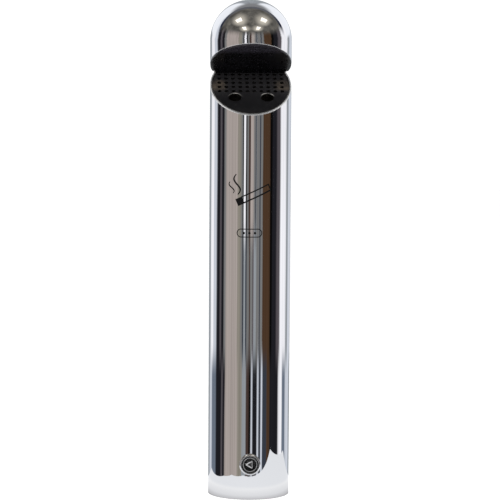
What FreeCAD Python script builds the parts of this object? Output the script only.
import FreeCAD, Part
import math
import os

# Wall-mounted tubular ashtray bin. Millimetres.
# Row frame: +Z up, +Y into the wall, the user stands at -Y, +X to the user's right.
# Origin: midpoint of the two wall-screw holes, on the wall plane (Y = 0).
# Everything is modelled in a working frame first (tube axis at x = y = 0, tube foot at z = 0) and shifted once, in emit().

V = FreeCAD.Vector

# ---------------------------------------------------------------- driving dimensions
TUBE_R = 38.05            # outside radius of the 76.1 mm tube
WALL = 2.0                # tube and dome wall
TUBE_L = 427.0            # straight length, foot to dome weld
BORE_R = TUBE_R - WALL

LOW_Z = 385.4             # height of the lower mouth cut on the tube axis
LOW_A = 33.8              # slope of the lower cut, degrees, falling to the front
UP_Z = 406.2              # height of the upper cut on the tube axis
UP_A = 27.0               # slope of the upper cut, degrees, rising to the front
MOUTH_ROOT_R = 1.2        # radius where the two cuts meet

SHEET = 1.5               # black sheet of hood and stub plate
STUB_RECESS = 0.8         # stub plate below the cut edge, along its normal
PLATE_R = 35.85           # radius of the plates inside the bore
SKIRT_H = 6.0             # turned edge of the plates
PITCH = 6.5               # stub hole pitch, both ways
STUB_HOLE_R = 1.9
STUB_COLS = 10
STUB_ROWS = (18.3, 11.8, 5.3, -1.2, -7.7)   # distance up the slope from the tube axis
DROP_HOLE_R = 6.0
DROP_X = 15.0
DROP_EDGE = 0.6           # rolled top edge of the drop holes
LIP_R = 37.8              # outside radius of the hood's lip under the cut edge
EDGE = 0.35               # eased outer edges of the tube
DROP_S = -17.2            # distance up the slope

LOCK_Z = 33.5             # height of the lock axis
HEAD_R = 10.0
HEAD_FRONT = -41.3        # y of the front of the lock head
HEAD_BACK = -38.65
BARREL_R = 9.0
BARREL_FLAT = 8.0         # half width across the flats
BARREL_END = -22.3
ROTOR_R = 6.5
COLLAR_R = 6.95
RUN = 0.05                # radial running clearance of rotor and hinge pin
CAM_T = 2.0
CAM_REACH = 21.0
CAM_W = 10.0
KEY_R = 5.75              # recess that a socket key enters
KEY_DEPTH = 6.0
TRI = 4.7                 # circumradius of the three-cornered stud
KEEP_Z = LOCK_Z - 18.0    # underside of the hatch keeper's hook

PAN_R = 34.6              # base pan
PAN_Z = 3.0
PAN_T = 1.5
PAN_RIM = 10.0
PAN_BACK = 26.5           # straight rear edge of the pan; a fixed ledge closes the floor behind it
HINGE_Y = 30.0
HINGE_Z = 3.0
PIN_R = 1.5
KNUCKLE_R = 2.7

WALL_Y = 46.05            # wall plane, from the tube axis
RAIL_W = 17.0             # half width of the wall rail
RAIL_T = 2.0
RAIL_Z0, RAIL_Z1 = 10.0, 350.0
SCREW_Z = (120.0, 320.0)  # wall screw holes
SCREW_R = 2.75
STUD_Z = (90.0, 290.0)    # hook studs
STUD_R = 2.5
ANTI_Z = 40.0             # anti-lift screw

Z_REF = sum(SCREW_Z) / 2.0

ta, tb = math.tan(math.radians(LOW_A)), math.tan(math.radians(UP_A))
ca, cb = math.cos(math.radians(LOW_A)), math.cos(math.radians(UP_A))
sa, sb = math.sin(math.radians(LOW_A)), math.sin(math.radians(UP_A))

os.makedirs("parts", exist_ok=True)


# ---------------------------------------------------------------- helpers
def cyl(r, p, d, h):
    return Part.makeCylinder(r, h, V(*p), V(*d))


def cyl_z(r, z0, z1, x=0.0, y=0.0):
    return cyl(r, (x, y, z0), (0, 0, 1), z1 - z0)


def cyl_y(r, y0, y1, x=0.0, z=0.0):
    return cyl(r, (x, y0, z), (0, 1, 0), y1 - y0)


def cyl_x(r, x0, x1, y, z):
    return cyl(r, (x0, y, z), (1, 0, 0), x1 - x0)


def cone_y(r0, r1, y0, y1, z):
    return Part.makeCone(r0, r1, y1 - y0, V(0, y0, z), V(0, 1, 0))


def box(x0, x1, y0, y1, z0, z1):
    return Part.makeBox(x1 - x0, y1 - y0, z1 - z0, V(x0, y0, z0))


def prism_x(points, x0, x1):
    """A profile in the YZ plane, extruded along X."""
    ring = [V(x0, y, z) for y, z in points]
    return Part.Face(Part.makePolygon(ring + [ring[0]])).extrude(V(x1 - x0, 0, 0))


def prism_y(points, y0, y1):
    """A profile in the XZ plane, extruded along Y."""
    ring = [V(x, y0, z) for x, z in points]
    return Part.Face(Part.makePolygon(ring + [ring[0]])).extrude(V(0, y1 - y0, 0))


def slab(z_mid, slope, thick_z, y0=-60.0, y1=60.0):
    """The space from the plane z = z_mid + slope*y up to thick_z above it."""
    return prism_x(
        [(y0, z_mid + slope * y0), (y1, z_mid + slope * y1), (y1, z_mid + slope * y1 + thick_z), (y0, z_mid + slope * y0 + thick_z)],
        -60,
        60,
    )


def around(shape, x):
    """Turns a feature made on the +Y meridian about the tube axis, so that it lands at x on the tube's skin."""
    shape.rotate(V(0, 0, 0), V(0, 0, 1), -math.degrees(math.asin(x / TUBE_R)))
    return shape


def ring_z(r_out, r_in, z0, z1):
    return cyl_z(r_out, z0, z1).cut(cyl_z(r_in, z0 - 1, z1 + 1))


def hexagon_y(across, y0, y1, x, z):
    r = across / math.sqrt(3.0)
    return prism_y([(x + r * math.cos(math.radians(60 * k)), z + r * math.sin(math.radians(60 * k))) for k in range(6)], y0, y1)


def fillet(shape, radius, pick):
    """Rounds the edges that pick(edge) names, and keeps the sharp shape if the kernel can't."""
    edges = [e for e in shape.Edges if pick(e)]
    if not edges:
        return shape
    try:
        done = shape.makeFillet(radius, edges)
        if done.isValid() and done.Volume > 0:
            return done
    except Exception:
        pass
    print("sharp edge kept, radius", radius)
    return shape


def circle_at(e, r, y, tol=0.02):
    """A full circle of radius r in the plane y, about an axis along Y."""
    return e.Curve.TypeId == "Part::GeomCircle" and abs(e.Curve.Radius - r) < tol and abs(e.Curve.Center.y - y) < tol


def one(shape):
    shape = shape.removeSplitter()
    return shape.Solids[0] if len(shape.Solids) == 1 else shape


def emit(name, shape):
    shape = shape.copy()
    shape.translate(V(0, -WALL_Y, -Z_REF))
    solids = shape.Solids
    for s in solids:
        if not s.isValid() or s.Volume <= 0:
            print("BAD SOLID", name, s.Volume)
    (solids[0] if len(solids) == 1 else Part.makeCompound(solids)).exportStep("parts/%s.step" % name)
    print("%-18s solids %d  volume %.0f" % (name, len(solids), sum(s.Volume for s in solids)))


def stub_point(x, s, lift=0.0):
    """A point on the stub plate's top face, s up the slope from the tube axis, lift along its normal."""
    return (x, s * ca - lift * sa, STUB_TOP + s * sa + lift * ca)


STUB_TOP = LOW_Z - STUB_RECESS / ca
STUB_BOT = STUB_TOP - SHEET / ca
HOOD_BOT = UP_Z - SHEET / cb
CREASE_Y = (HOOD_BOT - STUB_TOP) / (ta + tb)
STUB_N = (0.0, -sa, ca)
MOUTH_Y = (UP_Z - LOW_Z) / (ta + tb)
MOUTH_Z = LOW_Z + ta * MOUTH_Y

# ---------------------------------------------------------------- body tube
mouth = prism_x(
    [(MOUTH_Y, MOUTH_Z), (-60, LOW_Z - 60 * ta), (-60, UP_Z + 60 * tb)],
    -60,
    60,
)
mouth = fillet(
    mouth,
    MOUTH_ROOT_R,
    lambda e: e.Curve.TypeId == "Part::GeomLine" and abs(e.Vertexes[0].Y - MOUTH_Y) < 0.01 and abs(e.Vertexes[-1].Y - MOUTH_Y) < 0.01,
)
tube = one(ring_z(TUBE_R, BORE_R, 0, TUBE_L).cut(mouth))
tube = fillet(
    tube, EDGE,
    lambda e: e.Curve.TypeId == "Part::GeomCircle" and abs(e.Curve.Radius - TUBE_R) < 0.01 and abs(e.Curve.Center.z) < 0.01,
)
for low in (True, False):
    tube = fillet(
        tube, EDGE,
        lambda e: e.Curve.TypeId == "Part::GeomEllipse" and abs(math.hypot(e.Vertexes[0].X, e.Vertexes[0].Y) - TUBE_R) < 0.05
        and (e.BoundBox.ZMax < MOUTH_Z + 1 if low else e.BoundBox.ZMin > MOUTH_Z - 1),
    )

barrel_hole = cyl_y(BARREL_R + 0.1, -60, -20, 0, LOCK_Z).common(
    box(-BARREL_FLAT - 0.1, BARREL_FLAT + 0.1, -60, -20, LOCK_Z - 12, LOCK_Z + 12)
)
tube_cuts = [barrel_hole]
for z in STUD_Z:
    tube_cuts.append(box(-STUD_R - 0.2, STUD_R + 0.2, 30, 45, z - 12, z))
    tube_cuts.append(cyl_y(STUD_R + 0.2, 30, 45, 0, z))
    tube_cuts.append(cyl_y(4.9, 30, 45, 0, z - 12))
tube_cuts.append(cyl_y(2.25, 30, 45, 0, ANTI_Z))
RIVET_R = 1.6
INSERT_RIVET = (5.0, 419.0)
HINGE_RIVET = (7.0, 16.0)
for sx in (-1, 1):
    tube_cuts.append(around(cyl_y(RIVET_R + 0.05, 30, 45, 0, INSERT_RIVET[1]), sx * INSERT_RIVET[0]))
    tube_cuts.append(around(cyl_y(RIVET_R + 0.05, 30, 45, 0, HINGE_RIVET[1]), sx * HINGE_RIVET[0]))
for c in tube_cuts:
    tube = tube.cut(c)
emit("body_tube", one(tube))

# ---------------------------------------------------------------- dome cap, butt welded on the tube
dome = Part.makeSphere(TUBE_R, V(0, 0, TUBE_L)).cut(Part.makeSphere(BORE_R, V(0, 0, TUBE_L)))
dome = dome.common(box(-60, 60, -60, 60, TUBE_L, TUBE_L + 60))
emit("dome_cap", one(dome))

# ---------------------------------------------------------------- stub plate: sloped, perforated, with a turned-down edge and a rear tab
plate = slab(STUB_BOT, ta, SHEET / ca).common(cyl_z(PLATE_R, 340, 426))
skirt = ring_z(PLATE_R, PLATE_R - SHEET, 330, 426).common(slab(STUB_BOT - SKIRT_H, ta, SKIRT_H + 0.4))
tab = ring_z(PLATE_R, PLATE_R - SHEET, 405, 425).common(box(-9.5, 9.5, 20, 50, 405, 425))
tab = tab.cut(slab(STUB_BOT - 40, ta, 40 + 0.4))
stub = plate.fuse(skirt).fuse(tab)
stub = one(stub)
for sx in (-1, 1):
    stub = stub.cut(cyl(DROP_HOLE_R, stub_point(sx * DROP_X, DROP_S, -5), STUB_N, 10))
drop_tops = [V(*stub_point(sx * DROP_X, DROP_S)) for sx in (-1, 1)]
stub = fillet(
    stub, DROP_EDGE,
    lambda e: e.Curve.TypeId == "Part::GeomCircle" and abs(e.Curve.Radius - DROP_HOLE_R) < 0.01
    and min((e.Curve.Center - c).Length for c in drop_tops) < 0.05,
)
holes = []
for s in STUB_ROWS:
    for k in range(STUB_COLS):
        x = (k - (STUB_COLS - 1) / 2.0) * PITCH
        holes.append(cyl(STUB_HOLE_R, stub_point(x, s, -SHEET - 0.3), STUB_N, 6))
for sx in (-1, 1):
    holes.append(around(cyl_y(RIVET_R + 0.05, 30, 45, 0, INSERT_RIVET[1]), sx * INSERT_RIVET[0]))
CREASE_RIVETS = [(x, 22.0 / ca) for x in (-16.0, 0.0, 16.0)]
for x, s in CREASE_RIVETS:
    holes.append(cyl(RIVET_R + 0.05, stub_point(x, s, -5), STUB_N, 10))
stub = stub.cut(Part.makeCompound(holes))
emit("stub_plate", one(stub))

# ---------------------------------------------------------------- hood plate: closes the head from below, its lip covers the cut edge, and its rear edge is bent onto the stub plate
lip = slab(HOOD_BOT, -tb, SHEET / cb).common(cyl_z(LIP_R, 380, 440)).common(box(-60, 60, -60, 13.0, 380, 440))
inner = slab(HOOD_BOT, -tb, SHEET / cb).common(cyl_z(PLATE_R, 380, 440)).common(box(-60, 60, -60, CREASE_Y + 0.9, 380, 440))
collar = ring_z(PLATE_R, PLATE_R - SHEET, 390, 440).common(slab(UP_Z - 0.4, -tb, SKIRT_H + 0.4)).common(box(-60, 60, -60, 10.0, 380, TUBE_L))
flange = slab(STUB_TOP, ta, SHEET / ca).common(cyl_z(PLATE_R - SHEET - 0.4, 380, 440)).common(box(-60, 60, CREASE_Y, 27.5, 380, 440))
hood = lip.fuse(inner).fuse(collar).fuse(flange)
hood = hood.cut(slab(STUB_TOP - 60, ta, 60))
for x, s in CREASE_RIVETS:
    hood = hood.cut(cyl(RIVET_R + 0.05, stub_point(x, s, -5), STUB_N, 12))
emit("hood_plate", one(hood))

# three rivets through the hood's bent edge and the stub plate
rivets = []
for x, s in CREASE_RIVETS:
    r = cyl(RIVET_R, stub_point(x, s, -SHEET - 1.0), STUB_N, 2 * SHEET + 2.0)
    r = r.fuse(cyl(3.0, stub_point(x, s, SHEET), STUB_N, 1.2))
    r = r.fuse(cyl(2.6, stub_point(x, s, -SHEET - 1.2), STUB_N, 1.2))
    rivets.append(one(r))
emit("crease_rivets", Part.makeCompound(rivets))

# two blind rivets through the tube's back and the stub plate's rear tab
rivets = []
for sx in (-1, 1):
    z = INSERT_RIVET[1]
    r = cyl_y(RIVET_R, 32.9, 38.6, 0, z)
    head = cyl_y(3.2, TUBE_R, TUBE_R + 1.3, 0, z)
    head = fillet(head, 0.9, lambda e: circle_at(e, 3.2, TUBE_R + 1.3))
    r = r.fuse(head).fuse(cyl_y(2.5, 32.6, 34.22, 0, z))
    rivets.append(around(one(r), sx * INSERT_RIVET[0]))
emit("insert_rivets", Part.makeCompound(rivets))

# ---------------------------------------------------------------- lock, fixed parts
zl = LOCK_Z
housing = cyl_y(HEAD_R, HEAD_FRONT, HEAD_BACK, 0, zl)
housing = fillet(housing, 1.3, lambda e: circle_at(e, HEAD_R, HEAD_FRONT))
barrel = cyl_y(BARREL_R, HEAD_BACK - 0.5, BARREL_END, 0, zl).common(
    box(-BARREL_FLAT, BARREL_FLAT, -60, 0, zl - 12, zl + 12)
)
housing = housing.fuse(barrel)
housing = housing.cut(cone_y(8.2, COLLAR_R + RUN, HEAD_FRONT, HEAD_FRONT + 1.1, zl))
housing = housing.cut(cyl_y(COLLAR_R + RUN, HEAD_FRONT + 1.1, HEAD_FRONT + 2.5, 0, zl))
housing = housing.cut(cyl_y(ROTOR_R + RUN, HEAD_FRONT, BARREL_END + 1, 0, zl))
emit("lock_housing", one(housing))

gasket = cyl_y(HEAD_R - 0.5, HEAD_BACK, -30, 0, zl).cut(cyl_z(TUBE_R, 0, 80)).cut(cyl_y(BARREL_R + 0.1, -60, -20, 0, zl))
emit("lock_gasket", one(gasket))

saddle = cyl_y(12.5, -40, -33.0, 0, zl).common(cyl_z(BORE_R, 0, 80)).cut(cyl_y(BARREL_R + 0.1, -60, -20, 0, zl))
emit("lock_saddle_washer", one(saddle))

nut = hexagon_y(22.0, -33.0, -29.0, 0, zl).cut(cyl_y(BARREL_R + 0.02, -60, -20, 0, zl))
nut = nut.common(cone_y(13.4, 11.6, -33.0, -29.0, zl).fuse(cyl_y(11.6, -33.0, -29.0, 0, zl)))
emit("lock_nut", one(nut))

# ---------------------------------------------------------------- lock, turning parts. At rest the cam points to +X and clears the base pan; a quarter turn brings it down.
FACE = HEAD_FRONT + 1.2   # front face of the rotor
rotor = cyl_y(COLLAR_R, FACE, HEAD_FRONT + 2.45, 0, zl).fuse(cyl_y(ROTOR_R, FACE, BARREL_END, 0, zl))
rotor = fillet(one(rotor), 0.3, lambda e: circle_at(e, COLLAR_R, FACE))
rotor = rotor.cut(cyl_y(KEY_R, FACE - 1, FACE + KEY_DEPTH, 0, zl))
tri = prism_y([(TRI * math.cos(math.radians(a)), zl + TRI * math.sin(math.radians(a))) for a in (180, 300, 60)], FACE - 0.1, FACE + KEY_DEPTH + 0.5)
tri = fillet(tri, 0.6, lambda e: e.Curve.TypeId == "Part::GeomLine" and abs(e.Vertexes[0].Y - e.Vertexes[-1].Y) > 5)
tri = fillet(tri, 0.35, lambda e: abs(e.BoundBox.YMax - (FACE - 0.1)) < 0.01 and abs(e.BoundBox.YMin - (FACE - 0.1)) < 0.01)
rotor = rotor.fuse(tri)
square = box(-3.5, 3.5, BARREL_END, BARREL_END + 0.1 + CAM_T - 0.1, zl - 3.5, zl + 3.5)
rotor = rotor.fuse(square)
SCREW = 2.5
rotor = rotor.cut(cyl_y(SCREW + 0.05, -30, -15, 0, zl))
emit("lock_rotor", one(rotor))

cam_y0 = BARREL_END + 0.1
cam_y1 = cam_y0 + CAM_T
cam = cyl_y(7.5, cam_y0, cam_y1, 0, zl).fuse(box(0, CAM_REACH, cam_y0, cam_y1, zl - CAM_W / 2, zl + CAM_W / 2))
cam = cam.fuse(box(CAM_REACH - CAM_T, CAM_REACH, cam_y0, -12.0, zl - CAM_W / 2, zl + CAM_W / 2))
cam = cam.cut(box(-3.55, 3.55, cam_y0 - 1, cam_y1 + 1, zl - 3.55, zl + 3.55))
cam = fillet(
    one(cam), 2.2,
    lambda e: e.Curve.TypeId == "Part::GeomLine" and abs(e.Vertexes[0].X - CAM_REACH) < 0.01 and abs(e.Vertexes[-1].X - CAM_REACH) < 0.01
    and abs(e.Vertexes[0].Y - cam_y0) < 0.01 and abs(e.Vertexes[-1].Y - cam_y0) < 0.01,
)
emit("lock_cam", one(cam))

washer = cyl_y(5.0, cam_y1, cam_y1 + 1.0, 0, zl).cut(cyl_y(SCREW + 0.15, -30, -10, 0, zl))
emit("cam_washer", one(washer))
screw = cyl_y(SCREW, cam_y1 - 6.5, cam_y1 + 1.0, 0, zl).fuse(hexagon_y(8.0, cam_y1 + 1.0, cam_y1 + 4.5, 0, zl))
emit("cam_screw", one(screw))

# ---------------------------------------------------------------- base pan, the hinged floor of the ash chamber
pan = cyl_z(PAN_R, PAN_Z, PAN_RIM).cut(cyl_z(PAN_R - PAN_T, PAN_Z + PAN_T, PAN_RIM + 1))
pan = pan.cut(box(-60, 60, PAN_BACK, 60, 0, 30))
for side in (box(20.5, 60, 24.5, 60, 0, 30), box(-60, -20.5, 24.5, 60, 0, 30)):
    pan = pan.cut(side)
drains = [cyl_z(2.0, 0, 8, 22 * math.cos(math.radians(a)), 22 * math.sin(math.radians(a))) for a in (200, 340)]
LEAF_RIVETS = [(-6.0, 13.0), (6.0, 13.0)]
KEEPER_RIVETS = [(-6.0, -2.0), (6.0, -2.0)]
for x, y in LEAF_RIVETS + KEEPER_RIVETS:
    drains.append(cyl_z(RIVET_R + 0.05, 0, 8, x, y))
pan = pan.cut(Part.makeCompound(drains))
pan = fillet(
    one(pan), 1.0,
    lambda e: e.Curve.TypeId == "Part::GeomCircle" and abs(e.Curve.Radius - PAN_R) < 0.01 and abs(e.Curve.Center.z - PAN_Z) < 0.01,
)
emit("base_pan", one(pan))

leaf_z = PAN_Z + PAN_T
leaf = box(-9, 9, 8, 27, leaf_z, leaf_z + 1.2).fuse(box(-5.8, 5.8, 26, HINGE_Y, leaf_z, leaf_z + 1.2))
leaf = leaf.fuse(cyl_x(KNUCKLE_R, -5.8, 5.8, HINGE_Y, HINGE_Z)).cut(cyl_x(PIN_R + RUN, -20, 20, HINGE_Y, HINGE_Z))
leaf = leaf.cut(Part.makeCompound([cyl_z(RIVET_R + 0.05, 0, 10, x, y) for x, y in LEAF_RIVETS]))
emit("hinge_leaf", one(leaf))
emit(
    "leaf_rivets",
    Part.makeCompound(
        [one(cyl_z(RIVET_R, PAN_Z - 0.2, leaf_z + 2.0, x, y).fuse(cyl_z(2.8, leaf_z + 1.2, leaf_z + 2.3, x, y)).fuse(cyl_z(2.8, PAN_Z - 0.9, PAN_Z, x, y))) for x, y in LEAF_RIVETS]
    ),
)

keeper = box(-9, 9, -8, 2, leaf_z, leaf_z + 1.5)
keeper = keeper.fuse(box(-5, 5, -9.5, -8, leaf_z, KEEP_Z + 1.5)).fuse(box(-5, 5, -18.5, -8, KEEP_Z, KEEP_Z + 1.5))
keeper = keeper.fuse(box(-5, 5, -9.5, -7, leaf_z, leaf_z + 1.5))
keeper = keeper.cut(Part.makeCompound([cyl_z(RIVET_R + 0.05, 0, 10, x, y) for x, y in KEEPER_RIVETS]))
emit("hatch_keeper", one(keeper))
emit(
    "keeper_rivets",
    Part.makeCompound(
        [one(cyl_z(RIVET_R, PAN_Z - 0.2, leaf_z + 2.0, x, y).fuse(cyl_z(2.8, leaf_z + 1.5, leaf_z + 2.6, x, y)).fuse(cyl_z(2.8, PAN_Z - 0.9, PAN_Z, x, y))) for x, y in KEEPER_RIVETS]
    ),
)

# ---------------------------------------------------------------- hinge, fixed side
bracket = ring_z(BORE_R - 0.05, BORE_R - 1.55, 4.0, 24.0).common(box(-12.5, 12.5, 20, 60, 0, 30))
for sx in (-1, 1):
    x0, x1 = sorted((sx * 6.1, sx * 12.0))
    ear = cyl_x(KNUCKLE_R, x0, x1, HINGE_Y, HINGE_Z).fuse(
        prism_x([(HINGE_Y - 0.5, HINGE_Z), (HINGE_Y - 0.5, HINGE_Z + 5.0), (HINGE_Y + 2.0, HINGE_Z + 7.0), (35.2, HINGE_Z + 7.0), (35.2, HINGE_Z)], x0, x1)
    )
    bracket = bracket.fuse(ear)
ledge = box(-30, 30, 28.4, 60, 6.2, 7.4).cut(box(-6.1, 6.1, 20, 60, 3, 8))
bracket = bracket.fuse(ledge)
bracket = bracket.common(cyl_z(BORE_R - 0.05, 0, 40))
bracket = bracket.cut(cyl_x(PIN_R + 0.01, -20, 20, HINGE_Y, HINGE_Z))
for sx in (-1, 1):
    bracket = bracket.cut(around(cyl_y(RIVET_R + 0.05, 33, 45, 0, HINGE_RIVET[1]), sx * HINGE_RIVET[0]))
emit("hinge_bracket", one(bracket))

pin = cyl_x(PIN_R, -12.2, 13.0, HINGE_Y, HINGE_Z).fuse(cyl_x(2.3, 12.1, 13.3, HINGE_Y, HINGE_Z))
emit("hinge_pin", one(pin))

rivets = []
for sx in (-1, 1):
    z = HINGE_RIVET[1]
    head = cyl_y(3.0, TUBE_R, TUBE_R + 1.2, 0, z)
    head = fillet(head, 0.8, lambda e: circle_at(e, 3.0, TUBE_R + 1.2))
    r = cyl_y(RIVET_R, 33.2, 38.4, 0, z).fuse(cyl_y(2.4, 32.9, 34.38, 0, z)).fuse(head)
    rivets.append(around(one(r), sx * HINGE_RIVET[0]))
emit("hinge_rivets", Part.makeCompound(rivets))

# ---------------------------------------------------------------- wall rail and its fixings
RAIL_FRONT = 35.05
rail = box(-RAIL_W, RAIL_W, RAIL_FRONT, WALL_Y, RAIL_Z0, RAIL_Z1).cut(
    box(-RAIL_W + RAIL_T, RAIL_W - RAIL_T, 20, WALL_Y - RAIL_T, RAIL_Z0 - 1, RAIL_Z1 + 1)
)
rail = fillet(
    rail, 2.0,
    lambda e: e.Curve.TypeId == "Part::GeomLine" and abs(abs(e.Vertexes[0].X) - RAIL_W) < 0.01 and abs(abs(e.Vertexes[-1].X) - RAIL_W) < 0.01
    and abs(e.Vertexes[0].Y - WALL_Y) < 0.01 and abs(e.Vertexes[-1].Y - WALL_Y) < 0.01 and e.Length > 100,
)
cuts = [cyl_y(SCREW_R, 40, 50, 0, z) for z in SCREW_Z]
cuts += [cyl_y(STUD_R + 0.02, 40, 50, 0, z) for z in STUD_Z]
cuts.append(cyl_y(2.72, 40, 50, 0, ANTI_Z))
rail = rail.cut(Part.makeCompound(cuts))
emit("wall_rail", one(rail))

studs = []
for z in STUD_Z:
    s = cyl_y(STUD_R, 34.5, WALL_Y - 0.1, 0, z).fuse(cyl_y(4.5, 33.75, 35.65, 0, z)).fuse(cyl_y(4.5, 38.3, WALL_Y - RAIL_T, 0, z))
    studs.append(one(s))
emit("hook_studs", Part.makeCompound(studs))

anti = cyl_y(2.0, 34.5, 45.2, 0, ANTI_Z)
button = cyl_y(3.8, 33.6, 35.7, 0, ANTI_Z)
button = fillet(button, 1.2, lambda e: circle_at(e, 3.8, 33.6))
anti = anti.fuse(button).cut(hexagon_y(2.5, 33.0, 34.8, 0, ANTI_Z))
emit("anti_lift_screw", one(anti))
clinch = cyl_y(4.2, 40.6, WALL_Y - RAIL_T, 0, ANTI_Z).fuse(cyl_y(2.7, 42, WALL_Y - 0.1, 0, ANTI_Z)).cut(cyl_y(2.02, 30, 50, 0, ANTI_Z))
emit("anti_lift_nut", one(clinch))
print("crease y %.2f, mouth root y %.2f z %.2f, overall height %.2f" % (CREASE_Y, MOUTH_Y, MOUTH_Z, TUBE_L + TUBE_R))
